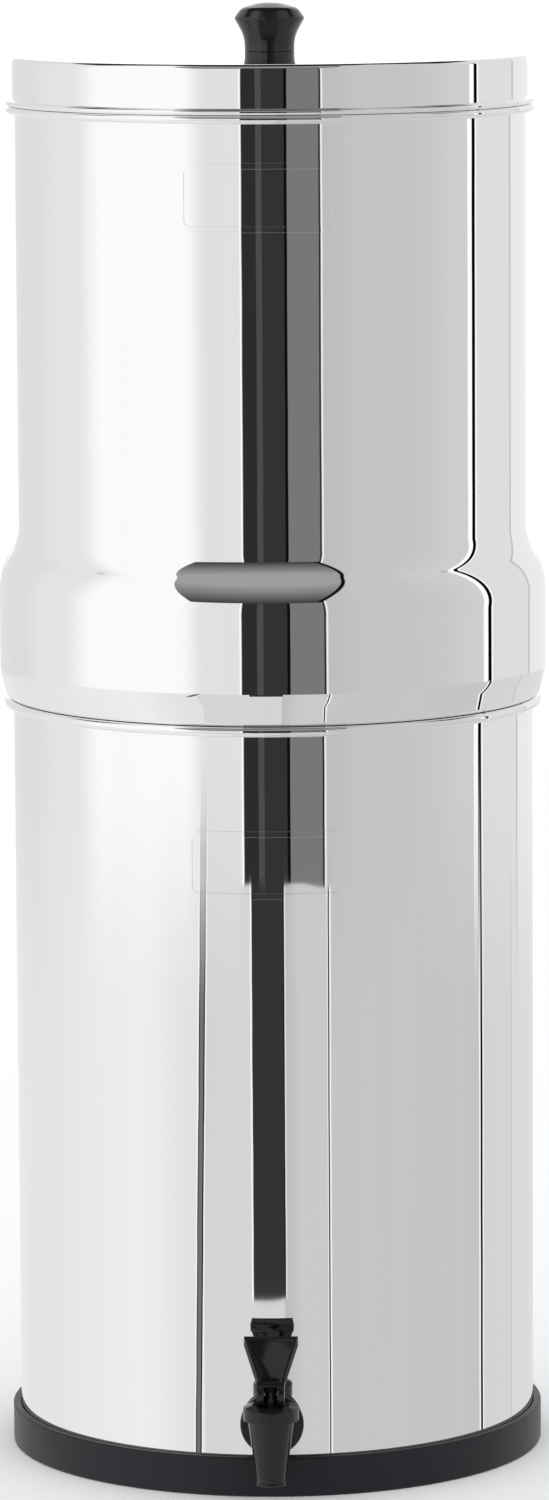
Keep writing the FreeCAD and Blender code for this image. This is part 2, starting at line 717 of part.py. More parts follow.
def lever_piece(label):
    """A body whose own origin is on the axis of the lever's pin."""
    return new_body(label, "0", "0 - tap_axis_r", "tap_height + pin_up")


def make_lever():
    """One moulding: two cheeks that straddle the stem's head, and a paddle with a sunk face and a rear ledge."""
    body = lever_piece("tap_lever")
    flat = "foot_gap - pin_height"
    bridge_top = "head_room + paddle_thick"
    front = "0 - paddle_thick"
    # Cheeks: a straight heel behind the pin, and a round front that rolls on the bonnet
    sketch = new_sketch(body, "YZ_Plane", "rolling_front_outline")
    draw_circle(sketch, "foot_arc_y", "foot_arc_z", "foot_arc_r")
    extrude(body, sketch, "rolling_front", "fork_width")
    sketch = new_sketch(body, "YZ_Plane", "cheek_outline")
    draw_corners(sketch, [("foot_arc_y", flat), ("fork_heel", flat), ("fork_heel + soft_edge", bridge_top),
                          (front, bridge_top), ("foot_arc_y", "foot_arc_z")])
    extrude(body, sketch, "cheeks", "fork_width")
    # Paddle: it leans back, its sides slope in from a narrow front face to a wider back, and the back has a rib
    # down it and a straight-sided ledge along the top
    half_top = "paddle_top_width / 2"
    half_low = "paddle_face_width / 2"
    half_back = "paddle_back_width / 2"
    ledge_foot = "paddle_top - ledge_height"
    back = [(half_back, "paddle_bottom"), (half_top, ledge_foot), (half_top, "paddle_top")]
    face = [(half_low, "paddle_bottom"), ("%s - face_slope * ledge_height" % half_top, ledge_foot),
            (half_top, "paddle_top")]
    sketch = leaning_sketch(body, "paddle_back_outline")
    draw_corners(sketch, mirrored(back))
    back_pad(body, sketch, "paddle_back", "paddle_thick / 2")
    sketch = leaning_sketch(body, "paddle_edge_outline")
    draw_corners(sketch, mirrored(back))
    front_sketch = leaning_sketch(body, "paddle_face_outline", "paddle_thick / 2")
    draw_corners(front_sketch, mirrored(face))
    front = body.newObject("PartDesign::AdditiveLoft", "paddle_front")
    front.Profile = sketch
    front.Sections = [front_sketch]
    front.Ruled = True
    doc.recompute()
    sketch = leaning_sketch(body, "ledge_outline")
    draw_corners(sketch, mirrored([(half_top, ledge_foot), (half_top, "paddle_top")]))
    back_pad(body, sketch, "ledge", "paddle_thick / 2 + ledge_depth")
    sketch = leaning_sketch(body, "rib_outline")
    draw_corners(sketch, mirrored([("rib_width / 2", "paddle_bottom"), ("rib_width / 2", "paddle_top")]))
    back_pad(body, sketch, "rib", "paddle_thick / 2 + ledge_depth")
    sketch = leaning_sketch(body, "sunk_face_outline", "paddle_thick / 2 - paddle_recess")
    draw_corners(sketch, mirrored([("%s - paddle_border" % half_low, "paddle_bottom - play"),
                                   ("%s - paddle_border - face_slope * paddle_lip" % half_top,
                                    "paddle_top - paddle_lip")]))
    sunk = body.newObject("PartDesign::Pocket", "sunk_face")
    sunk.Profile = sketch
    sunk.Reversed = True
    bind(sunk, "Length", "paddle_thick")
    doc.recompute()
    # Above the stem's head the cheeks end flush with the paddle's front face
    sketch = leaning_sketch(body, "cheek_trim_outline", "paddle_thick / 2")
    draw_corners(sketch, mirrored([("fork_width / 2 + play", "head_room"), ("fork_width / 2 + play", "paddle_top")]))
    trim = body.newObject("PartDesign::Pocket", "cheek_trim")
    trim.Profile = sketch
    trim.Reversed = True
    bind(trim, "Length", "fork_width + paddle_thick")
    doc.recompute()
    # Slot for the stem's head, open to the front so that the lever can tip forward over it
    sketch = new_sketch(body, "YZ_Plane", "slot_outline")
    deep = "0 - pin_height * 2"
    ahead = "foot_arc_y - foot_arc_r - play"
    draw_corners(sketch, [(ahead, deep), ("head_clearance_r", deep), ("head_clearance_r", "head_room"),
                          (ahead, "head_room")])
    extrude(body, sketch, "stem_slot", "fork_gap", cut=True)
    sketch = new_sketch(body, "YZ_Plane", "pin_hole_outline")
    draw_circle(sketch, "0", "0", "pin_r + fit")
    extrude(body, sketch, "pin_hole", "fork_width * 2", cut=True)
    return body


def leaning_sketch(body, name, forward="0"):
    """A sketch on the paddle's leaning middle plane, or on one that lies ahead of it."""
    sketch = new_sketch(body, "XZ_Plane", name)
    lean = FreeCAD.Rotation(FreeCAD.Vector(-1, 0, 0), number("paddle_lean"))
    sketch.AttachmentOffset = FreeCAD.Placement(FreeCAD.Vector(), lean)
    bind(sketch, ".AttachmentOffset.Rotation.Angle", "paddle_lean * 1deg")
    bind(sketch, ".AttachmentOffset.Base.y", "(%s) * sin(paddle_lean * 1deg)" % forward)
    bind(sketch, ".AttachmentOffset.Base.z", "(%s) * cos(paddle_lean * 1deg)" % forward)
    return sketch


def mirrored(right_side):
    """All corners of an outline that is the same left and right, from those of its right side, going up."""
    left_side = [("0 - (%s)" % half, up) for half, up in reversed(right_side)]
    return right_side + left_side


def back_pad(body, sketch, name, length):
    """Pad a sketch from the paddle's middle plane towards its back."""
    feature = body.newObject("PartDesign::Pad", name)
    feature.Profile = sketch
    feature.Reversed = True
    bind(feature, "Length", length)
    doc.recompute()
    return feature


def make_lever_pin():
    """A steel pin through both cheeks and the stem's head."""
    body = lever_piece("lever_pin")
    left = "0 - fork_width / 2"
    revolve(body, [(left, "0"), ("fork_width / 2", "0"), ("fork_width / 2", "pin_r"), (left, "pin_r")],
            plane_role="XZ_Plane", axis="H_Axis")
    return body


def make_all():
    """Every piece of the filter, from the ground up."""
    nodes = [make_base_ring(), make_lower_chamber(), make_tap_body()]
    nodes.append(washer_on_wall("tap_outer_washer", "tap_reach - gasket_thick",
                                "tap_reach + gasket_thick / 2", outside=True))
    nodes.append(washer_on_wall("tap_inner_washer", "tap_reach", "gasket_inner_face", outside=False))
    nodes += [make_tap_nut(), make_bonnet(), make_stem(), make_seat_cup(), make_spring(), make_lever(),
              make_lever_pin(), make_upper_chamber()]
    for order in range(CANDLES):
        nodes += [make_candle(order), make_candle_base(order), make_blocking_plug(order)]
    nodes.append(copies_on_circle("element_washers", make_candle_washer(), CANDLES, 0.0))
    nodes.append(copies_on_circle("element_wing_nuts", make_wing_nut(), CANDLES, 0.0))
    nodes += [make_lid_shell(), make_knob(), make_knob_washer(), make_knob_screw()]
    return nodes


def check(nodes):
    """Stop before anything is written if a feature failed or a piece is not a valid solid."""
    doc.recompute()
    for item in doc.Objects:
        if "Invalid" in item.State or "Error" in item.State:
            raise RuntimeError("%s failed: %s" % (item.Label, item.State))
    for node in nodes:
        if node.Shape.isNull() or not node.Shape.isValid() or not node.Shape.Solids:
            raise RuntimeError("%s has no valid solid" % node.Label)


pieces = make_all()
check(pieces)
os.makedirs("parts", exist_ok=True)
for piece in pieces:
    piece.Shape.exportStep("parts/%s.step" % piece.Label)
    print("%-20s %d solid(s) %10.0f mm3" % (piece.Label, len(piece.Shape.Solids), piece.Shape.Volume))
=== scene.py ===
import bpy
import math
import numpy as np
from mathutils import Matrix, Vector


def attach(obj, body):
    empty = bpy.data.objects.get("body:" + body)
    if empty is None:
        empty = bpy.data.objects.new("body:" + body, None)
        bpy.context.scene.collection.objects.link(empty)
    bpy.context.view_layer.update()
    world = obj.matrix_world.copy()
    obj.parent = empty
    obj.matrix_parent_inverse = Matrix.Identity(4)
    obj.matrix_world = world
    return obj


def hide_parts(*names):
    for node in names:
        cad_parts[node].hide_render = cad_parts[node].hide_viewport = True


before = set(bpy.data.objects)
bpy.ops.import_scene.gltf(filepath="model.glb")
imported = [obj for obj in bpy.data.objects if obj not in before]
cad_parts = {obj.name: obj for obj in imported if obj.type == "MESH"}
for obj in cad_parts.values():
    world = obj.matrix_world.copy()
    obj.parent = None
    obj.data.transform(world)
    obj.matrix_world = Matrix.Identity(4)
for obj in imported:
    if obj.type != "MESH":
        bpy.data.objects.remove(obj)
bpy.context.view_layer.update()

# Base ring
# One moulded ring of black rubbery plastic. The lower chamber stands in it: an upright skirt goes round the
# outside of the wall, and a ledge under the floor carries the weight.


class Wire:
    """A value on its way through a node tree. Sums of wires and numbers add the Math nodes they need."""

    def __init__(self, tree, socket):
        self.tree = tree
        self.socket = socket

    def pick(self, name):
        """Another output of the node that this value comes from."""
        return Wire(self.tree, self.socket.node.outputs[name])

    def maths(self, operation, *values):
        """A Math node on these values, in this wire's tree."""
        return self.tree.node("ShaderNodeMath", {"operation": operation}, dict(enumerate(values)))

    def called(self, operation, *others):
        """A Math node on this value, and on any others after it."""
        return self.maths(operation, self, *others)

    def __add__(self, other):
        return self.called("ADD", other)

    def __radd__(self, other):
        return self.maths("ADD", other, self)

    def __sub__(self, other):
        return self.called("SUBTRACT", other)

    def __rsub__(self, other):
        return self.maths("SUBTRACT", other, self)

    def __mul__(self, other):
        return self.called("MULTIPLY", other)

    def __rmul__(self, other):
        return self.maths("MULTIPLY", other, self)

    def __truediv__(self, other):
        return self.called("DIVIDE", other)

    def past(self, edge, blur):
        """0 below an edge and 1 above it, blended over the blur each side."""
        return self.tree.node("ShaderNodeMapRange", {"interpolation_type": "SMOOTHSTEP"},
                              {"Value": self, "From Min": edge - blur, "From Max": edge + blur})


class Tree:
    """A node tree, for a finish, for the studio or for a repeated shape."""

    def __init__(self, nodes, links):
        self.nodes = nodes
        self.links = links

    def node(self, kind, settings=None, sockets=None):
        """Add a node: its settings first, then the value or the wire of each socket."""
        node = self.nodes.new(kind)
        for name, value in (settings or {}).items():
            setattr(node, name, value)
        for name, value in (sockets or {}).items():
            if isinstance(value, Wire):
                self.links.new(value.socket, node.inputs[name])
            else:
                node.inputs[name].default_value = value
        shown = [output for output in node.outputs if output.enabled]
        return Wire(self, shown[0]) if shown else None


def new_finish(name):
    """An empty material and its tree."""
    material = bpy.data.materials.new(name)
    material.use_nodes = True
    material.node_tree.nodes.clear()
    return material, Tree(material.node_tree.nodes, material.node_tree.links)


def colour_mix(tree, share, first, second):
    """A blend of two colours, which go to sockets 6 and 7 of a Mix node."""
    return tree.node("ShaderNodeMix", {"data_type": "RGBA"},
                     {0: share, 6: (*first, 1.0), 7: (*second, 1.0)})


def moulded(name, dark, light, shine, shine_change, grain, depth, gleam=0.5):
    """A moulded plastic or rubber: two close tones in a slow mottle, and a fine skin grain in its gloss."""
    material, tree = new_finish(name)
    place = tree.node("ShaderNodeTexCoord").pick("Object")
    mottle = tree.node("ShaderNodeTexNoise", {},
                       {"Vector": place, "Scale": 55.0, "Detail": 5.0, "Roughness": 0.6})
    pores = tree.node("ShaderNodeTexNoise", {}, {"Vector": place, "Scale": grain, "Detail": 3.0})
    dust = tree.node("ShaderNodeTexNoise", {}, {"Vector": place, "Scale": 420.0, "Detail": 2.0})
    height = pores * 0.8 + dust * 0.2
    bump = tree.node("ShaderNodeBump", {}, {"Strength": 1.0, "Distance": depth, "Height": height})
    surface = tree.node("ShaderNodeBsdfPrincipled", {}, {
        "Base Color": colour_mix(tree, mottle, dark, light),
        "Roughness": shine + (mottle - 0.5) * shine_change + (pores - 0.5) * shine_change,
        "Specular IOR Level": gleam,
        "Normal": bump})
    tree.node("ShaderNodeOutputMaterial", {}, {"Surface": surface})
    return material


LEAST_BEND = 0.12
CHORD_GAP = 0.004


def rounded(corners, closed=False):
    """Follow (across, up, bend) corners in millimetres, bending at each one.

    Gives (across, up, facing across, facing up) at each point; the outside lies right of the way gone.
    """
    points = []
    last = len(corners) - 1
    for order, (across, up, bend) in enumerate(corners):
        before = corners[order - 1] if closed or order else None
        after = corners[(order + 1) % len(corners)] if closed or order < last else None
        into = Vector((across - before[0], up - before[1])).normalized() if before else None
        out = Vector((after[0] - across, after[1] - up)).normalized() if after else None
        if into is None or out is None:
            way = out if into is None else into
            points.append((across, up, way.y, -way.x))
            continue
        turn = math.atan2(into.x * out.y - into.y * out.x, into.dot(out))
        if abs(turn) < 1e-4:
            points.append((across, up, into.y, -into.x))
            continue
        bend = max(bend, LEAST_BEND)
        side = math.copysign(1.0, turn)
        start = Vector((across, up)) - into * bend * math.tan(abs(turn) / 2)
        centre = start + Vector((-into.y, into.x)) * side * bend
        count = max(3, math.ceil(abs(turn) / (2 * math.acos(1 - CHORD_GAP / bend))))
        for step in range(count + 1):
            angle = turn * step / count
            way = Vector((into.x * math.cos(angle) - into.y * math.sin(angle),
                          into.x * math.sin(angle) + into.y * math.cos(angle)))
            facing = Vector((way.y, -way.x))
            point = centre + facing * bend * side
            points.append((point.x, point.y, facing.x, facing.y))
    return points


def skin(name, outline, steps, closed=False, centre=(0.0, 0.0), lift=0.0, lying=False):
    """The mesh of an outline turned round an upright axis, or round one along +Y, with its true normals."""
    points, facings, faces, rings = [], [], [], []
    angles = [math.tau * (step + 0.5) / steps for step in range(steps)]
    for across, up, facing_across, facing_up in outline:
        if across < 1e-6:
            rings.append([len(points)] * steps)
            points.append((0.0, 0.0, up))
            facings.append((0.0, 0.0, math.copysign(1.0, facing_up)))
            continue
        rings.append(list(range(len(points), len(points) + steps)))
        for angle in angles:
            points.append((across * math.cos(angle), across * math.sin(angle), up))
            facings.append((facing_across * math.cos(angle), facing_across * math.sin(angle), facing_up))
    pairs = list(zip(rings, rings[1:])) + ([(rings[-1], rings[0])] if closed else [])
    for low, high in pairs:
        for step in range(steps):
            following = (step + 1) % steps
            corners = [low[step], low[following], high[following], high[step]]
            faces.append(list(dict.fromkeys(corners)))
    points = np.array(points)
    facings = np.array(facings)
    if lying:
        points = np.stack([points[:, 0], points[:, 2], -points[:, 1]], 1)
        facings = np.stack([facings[:, 0], facings[:, 2], -facings[:, 1]], 1)
    points = (points + np.array([centre[0], centre[1], lift])) / 1000.0
    mesh = bpy.data.meshes.new(name)
    mesh.from_pydata(points.tolist(), [], faces)
    mesh.shade_smooth()
    mesh.normals_split_custom_set_from_vertices(facings.tolist())
    return mesh


def stand_in(name, mesh, material, body, slot, *nodes):
    """Put a finished mesh in the scene as the piece that stands for these solids."""
    piece = bpy.data.objects.new(name, mesh)
    bpy.context.scene.collection.objects.link(piece)
    mesh.materials.clear()
    mesh.materials.append(material)
    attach(piece, body)
    if nodes:
        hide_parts(*nodes)
    return piece


RING_R = 140.8
RING_TOP = 20.6
RING_SEAT_R = 136.9
RING_INNER_R = 118.6
FLOOR = 4.0
base_black = moulded("satin_base_black", (0.008, 0.007, 0.012), (0.013, 0.012, 0.018),
                     shine=0.44, shine_change=0.14, grain=900.0, depth=0.00003, gleam=0.3)
base_outline = rounded([
    (RING_INNER_R, 0.0, 0.5), (RING_R, 0.0, 1.2), (RING_R, RING_TOP, 1.0), (RING_SEAT_R, RING_TOP, 0.4),
    (RING_SEAT_R, FLOOR, 0.4), (RING_INNER_R, FLOOR, 0.8)], closed=True)
stand_in("moulded_base_ring", skin("moulded_base_ring", base_outline, 320, closed=True), base_black,
         "base", "base_rubber", "base_ring")

# Lower chamber
# Deep-drawn stainless sheet, 0.8 mm thick, polished to a mirror outside, with a flat floor and an edge rolled
# outwards into a bead. One round hole near the floor takes the tap's shank.


def polished(name, tone, shine):
    """Mirror-polished steel: faint upright polishing lines, and the slow waviness of thin drawn sheet."""
    material, tree = new_finish(name)
    place = tree.node("ShaderNodeTexCoord").pick("Object")
    drawn = tree.node("ShaderNodeMapping", {}, {"Vector": place, "Scale": (1.0, 1.0, 0.018)})
    lines = tree.node("ShaderNodeTexNoise", {},
                      {"Vector": drawn, "Scale": 520.0, "Detail": 4.0, "Roughness": 0.65})
    bands = tree.node("ShaderNodeTexNoise", {}, {"Vector": drawn, "Scale": 70.0, "Detail": 2.0})
    wave = tree.node("ShaderNodeTexNoise", {},
                     {"Vector": place, "Scale": 16.0, "Detail": 2.0, "Roughness": 0.45})
    smear = tree.node("ShaderNodeTexNoise", {},
                      {"Vector": place, "Scale": 30.0, "Detail": 4.0, "Distortion": 0.6})
    height = wave + lines * 0.0012
    bump = tree.node("ShaderNodeBump", {}, {"Strength": 1.0, "Distance": 0.00006, "Height": height})
    pale = tuple(value * 1.02 for value in tone)
    deep = tuple(value * 0.965 for value in tone)
    surface = tree.node("ShaderNodeBsdfPrincipled", {}, {
        "Base Color": colour_mix(tree, bands, deep, pale),
        "Metallic": 1.0,
        "Roughness": shine + lines * 0.008 + smear * 0.008,
        "Normal": bump})
    tree.node("ShaderNodeOutputMaterial", {}, {"Surface": surface})
    return material


def offset(outline, sheet):
    """The inner side of a sheet whose outer side is an outline, followed back the other way."""
    return [(max(0.0, across - sheet * facing_across), up - sheet * facing_up, -facing_across, -facing_up)
            for across, up, facing_across, facing_up in reversed(outline)]


NEAR = 0.002
LEAST_MATCH = 0.5


def drilled(mesh, outline, drills):
    """Cut round holes out of a turned skin, and give what is left its true normals again.

    A corner takes its normal from the stretch of outline it lies on, or where it lies on two, from the one
    that its face follows. A face that follows neither is the wall of a hole and stays flat.
    """
    piece = bpy.data.objects.new("drilled", mesh)
    bpy.context.scene.collection.objects.link(piece)
    cutters = []
    for drill in drills:
        cutter = bpy.data.objects.new("drill", drill)
        bpy.context.scene.collection.objects.link(cutter)
        cut = piece.modifiers.new("hole", "BOOLEAN")
        cut.operation = "DIFFERENCE"
        cut.solver = "EXACT"
        cut.object = cutter
        cutters.append(cutter)
    graph = bpy.context.evaluated_depsgraph_get()
    result = bpy.data.meshes.new_from_object(piece.evaluated_get(graph), depsgraph=graph)
    for spare in [piece] + cutters:
        bpy.data.objects.remove(spare)
    path = np.array(outline)
    start, end = path[:-1], path[1:]
    spots = np.empty(len(result.vertices) * 3)
    result.vertices.foreach_get("co", spots)
    spots = spots.reshape(-1, 3) * 1000.0
    radius = np.hypot(spots[:, 0], spots[:, 1])
    flat = np.stack([radius, spots[:, 2]], 1)
    run = end[:, :2] - start[:, :2]
    length = np.maximum((run ** 2).sum(1), 1e-12)
    share = np.clip(((flat[:, None, :] - start[None, :, :2]) * run).sum(2) / length, 0.0, 1.0)
    gap = np.linalg.norm(flat[:, None, :] - (start[None, :, :2] + share[:, :, None] * run), axis=2)
    facings = []
    for polygon in result.polygons:
        for corner in polygon.vertices:
            near = np.where(gap[corner] < gap[corner].min() + NEAR)[0]
            best = None
            for segment in near:
                along = share[corner, segment]
                facing = start[segment, 2:] * (1 - along) + end[segment, 2:] * along
                outward = spots[corner, :2] / max(radius[corner], 1e-9)
                vector = Vector((facing[0] * outward[0], facing[0] * outward[1], facing[1])).normalized()
                match = vector.dot(polygon.normal)
                if best is None or match > best[0]:
                    best = (match, vector)
            facings.append(best[1] if best[0] > LEAST_MATCH else polygon.normal.copy())
    result.shade_smooth()
    result.normals_split_custom_set(facings)
    return result


STEEL_TONE = 0.88
SHEET = 0.8
FLOOR_BEND = 4.0
LOWER_R = 136.6
LOWER_MOUTH_R = LOWER_R - SHEET
LOWER_BEAD_R = 141.3
LOWER_BEAD_BEND = 2.35
LOWER_BEAD_FOOT = 395.2
LOWER_EDGE = 394.0
SEAM = 400.2
TAP_Z = 38.5
TAP_ZONE = 12.5
TAP_HOLE_R = 7.88
DRILL_FRONT = -150.0
DRILL_BACK = -120.0
steel = polished("mirror_steel", (STEEL_TONE, STEEL_TONE, 0.872), shine=0.005)
lower_wall = [(0.0, FLOOR, 0.0), (LOWER_R, FLOOR, FLOOR_BEND), (LOWER_R, TAP_Z - TAP_ZONE, 0.0),
              (LOWER_R, TAP_Z + TAP_ZONE, 0.0)]
lower_shell = rounded(lower_wall + [
    (LOWER_R, LOWER_BEAD_FOOT, 0.5), (LOWER_BEAD_R, LOWER_BEAD_FOOT, LOWER_BEAD_BEND),
    (LOWER_BEAD_R, SEAM, LOWER_BEAD_BEND), (LOWER_MOUTH_R, SEAM, 1.5), (LOWER_MOUTH_R, LOWER_EDGE, 0.0)])
lower_shell += offset(rounded(lower_wall + [(LOWER_R, LOWER_EDGE - 1.0, 0.0)]), SHEET)
drill_outline = rounded([(0.0, DRILL_FRONT, 0.0), (TAP_HOLE_R, DRILL_FRONT, 0.0),
                         (TAP_HOLE_R, DRILL_BACK, 0.0), (0.0, DRILL_BACK, 0.0)])
shank_drill = skin("drill", drill_outline, 48, lift=TAP_Z, lying=True)
lower_mesh = drilled(skin("lower_shell", lower_shell, 360), lower_shell, [shank_drill])
stand_in("lower_shell", lower_mesh, steel, "base", "polished_steel", "lower_chamber")


RIDGE_SUNK = 0.0003


def frame_tree():
    """A raised rounded frame that follows the chamber's wall: a path, a low ridge along it, and the bend."""
    group = bpy.data.node_groups.new("raised_frame", "GeometryNodeTree")
    tree = Tree(group.nodes, group.links)
    group.interface.new_socket("Geometry", in_out="OUTPUT", socket_type="NodeSocketGeometry")
    group.interface.new_socket("Geometry", in_out="INPUT", socket_type="NodeSocketGeometry")
    for name in ("Width", "Height", "Corner", "Ridge Width", "Ridge Height", "Wall Radius", "Turn", "Level"):
        group.interface.new_socket(name, in_out="INPUT", socket_type="NodeSocketFloat")
    group.interface.new_socket("Finish", in_out="INPUT", socket_type="NodeSocketMaterial")
    sizes = tree.node("NodeGroupInput")
    path = tree.node("GeometryNodeCurvePrimitiveQuadrilateral", {"mode": "RECTANGLE"},
                     {"Width": sizes.pick("Width"), "Height": sizes.pick("Height")})
    path = tree.node("GeometryNodeFilletCurve", {"mode": "POLY"},
                     {"Curve": path, "Radius": sizes.pick("Corner"), "Count": 14})
    path = tree.node("GeometryNodeResampleCurve", {"mode": "LENGTH"}, {"Curve": path, "Length": 0.0005})
    section = tree.node("GeometryNodeCurvePrimitiveCircle", {"mode": "RADIUS"},
                        {"Resolution": 44, "Radius": 1.0})
    spot = tree.node("ShaderNodeSeparateXYZ", {}, {0: tree.node("GeometryNodeInputPosition")})
    from_crest = spot.pick("X").called("ABSOLUTE")
    crest = 1.0 - from_crest.past(0.66, 0.34)
    above = spot.pick("Y").past(0.0, 0.001)
    rise = crest * sizes.pick("Ridge Height") * above - (1.0 - above) * RIDGE_SUNK
    bent = tree.node("ShaderNodeCombineXYZ", {},
                     {0: spot.pick("X") * sizes.pick("Ridge Width") * 0.5, 1: rise})
    section = tree.node("GeometryNodeSetPosition", {}, {"Geometry": section, "Position": bent})
    ridge = tree.node("GeometryNodeCurveToMesh", {}, {"Curve": path, "Profile Curve": section})
    spot = tree.node("ShaderNodeSeparateXYZ", {}, {0: tree.node("GeometryNodeInputPosition")})
    angle = spot.pick("X") / sizes.pick("Wall Radius") + sizes.pick("Turn")
    reach = sizes.pick("Wall Radius") + spot.pick("Z")
    wrapped = tree.node("ShaderNodeCombineXYZ", {}, {
        0: reach * angle.called("SINE"), 1: reach * angle.called("COSINE") * -1.0,
        2: spot.pick("Y") + sizes.pick("Level")})
    ridge = tree.node("GeometryNodeSetPosition", {}, {"Geometry": ridge, "Position": wrapped})
    ridge = tree.node("GeometryNodeSetShadeSmooth", {}, {0: ridge})
    ridge = tree.node("GeometryNodeRealizeInstances", {}, {0: ridge})
    ridge = tree.node("GeometryNodeSetMaterial", {}, {"Geometry": ridge, "Material": sizes.pick("Finish")})
    tree.node("NodeGroupOutput", {}, {0: ridge})
    return group


def grow(name, start_mesh, group, values):
    """Run a node tree on a mesh and give its result as a plain mesh."""
    carrier = bpy.data.objects.new(name, start_mesh)
    bpy.context.scene.collection.objects.link(carrier)
    modifier = carrier.modifiers.new(name, "NODES")
    modifier.node_group = group
    for item in group.interface.items_tree:
        if item.in_out == "INPUT" and item.name in values:
            modifier[item.identifier] = values[item.name]
    graph = bpy.context.evaluated_depsgraph_get()
    result = bpy.data.meshes.new_from_object(carrier.evaluated_get(graph), depsgraph=graph)
    bpy.data.objects.remove(carrier)
    result.name = name
    return result


raised_frame = frame_tree()
frame_sizes = {"Width": 0.079, "Height": 0.032, "Corner": 0.0044, "Ridge Width": 0.003,
               "Ridge Height": 0.0005, "Finish": steel}
lower_frame = grow("lower_frame", bpy.data.meshes.new("lower_frame"), raised_frame,
                   {**frame_sizes, "Wall Radius": LOWER_R / 1000.0,
                    "Turn": math.radians(-0.75), "Level": 0.3287})
stand_in("lower_frame", lower_frame, steel, "base", "polished_steel")

# Tap body
# Barrel, spout, flange and threaded shank are one black moulding. The shank goes through the wall between two
# soft washers, and a plastic nut inside the chamber draws the flange up to the wall.

tap_black = moulded("gloss_tap_black", (0.006, 0.006, 0.008), (0.011, 0.011, 0.014),
                    shine=0.15, shine_change=0.08, grain=260.0, depth=0.00002, gleam=0.36)
TAP_Y = -164.6


def joined(name, meshes):
    """One closed skin of several solids that run into each other, with hardened normals."""
    first = bpy.data.objects.new(name, meshes[0])
    bpy.context.scene.collection.objects.link(first)
    others = []
    for mesh in meshes[1:]:
        other = bpy.data.objects.new(name + "_part", mesh)
        bpy.context.scene.collection.objects.link(other)
        union = first.modifiers.new("join", "BOOLEAN")
        union.operation = "UNION"
        union.solver = "EXACT"
        union.object = other
        others.append(other)
    harden = first.modifiers.new("normals", "WEIGHTED_NORMAL")
    harden.keep_sharp = True
    graph = bpy.context.evaluated_depsgraph_get()
    result = bpy.data.meshes.new_from_object(first.evaluated_get(graph), depsgraph=graph)
    for spare in [first] + others:
        bpy.data.objects.remove(spare)
    result.name = name
    return result


SPOUT_FOOT = -25.5
SPOUT_LIP = 1.2
SPOUT_LIP_R = 8.1
SPOUT_R = 7.5
SPOUT_BORE_R = 5.6
SHOULDER = 8.1
SHOULDER_R = 11.9
NECK_R = 11.0
NECK_TOP = 13.1
CHEST_R = 8.5
SEAT = -7.0
SEAT_DEPTH = 2.0
SEAT_R = 4.4
SHANK_R = 7.8
SHANK_BORE_R = 4.8
SHANK_START = 9.0
SHANK_END = 44.8
FLANGE_R = 16.4
FLANGE_FRONT = 23.0
FLANGE_BACK = 26.0
barrel_outline = rounded([
    (SPOUT_BORE_R, SPOUT_FOOT, 0.3), (SPOUT_LIP_R, SPOUT_FOOT, 0.4),
    (SPOUT_LIP_R, SPOUT_FOOT + SPOUT_LIP, 0.4), (SPOUT_R, SPOUT_FOOT + SPOUT_LIP, 0.3),
    (SHOULDER_R, SHOULDER, 0.4), (NECK_R, SHOULDER, 0.2), (NECK_R, NECK_TOP, 0.4), (CHEST_R, NECK_TOP, 0.3),
    (CHEST_R, SEAT, 0.3), (SEAT_R, SEAT, 0.2), (SEAT_R, SEAT - SEAT_DEPTH, 0.2),
    (SPOUT_BORE_R, SEAT - SEAT_DEPTH, 0.3)], closed=True)
shank_outline = rounded([
    (SHANK_BORE_R, SHANK_START, 0.2), (SHANK_R, SHANK_START, 0.2), (SHANK_R, FLANGE_FRONT, 0.9),
    (FLANGE_R, FLANGE_FRONT, 1.1), (FLANGE_R, FLANGE_BACK, 0.4), (SHANK_R, FLANGE_BACK, 0.2),
    (SHANK_R, SHANK_END, 0.6), (SHANK_BORE_R, SHANK_END, 0.4)], closed=True)
tap_axis = (0.0, TAP_Y)
barrel = skin("barrel", barrel_outline, 128, closed=True, centre=tap_axis, lift=TAP_Z)
shank = skin("shank", shank_outline, 128, closed=True, centre=tap_axis, lift=TAP_Z, lying=True)
stand_in("tap_barrel", joined("tap_barrel", [barrel, shank]), tap_black,
         "base", "black_gloss_plastic", "tap_body")

washer_black = moulded("washer_black", (0.014, 0.014, 0.014), (0.03, 0.03, 0.03),
                       shine=0.6, shine_change=0.12, grain=700.0, depth=0.00003)
nut_black = moulded("nut_black", (0.012, 0.012, 0.013), (0.022, 0.022, 0.024),
                    shine=0.4, shine_change=0.1, grain=600.0, depth=0.00003)


def painted(node, material):
    """Give a solid that stays its finish."""
    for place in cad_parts[node].material_slots:
        place.material = material


painted("tap_outer_washer", washer_black)
painted("tap_inner_washer", washer_black)
painted("tap_nut", nut_black)

# Bonnet, stem, cup and spring
# The bonnet screws over the barrel's neck. A plastic rod slides through it, with a soft cup on its foot
# that a steel spring pushes down on the seat. The rod's head stands in the lever's fork.

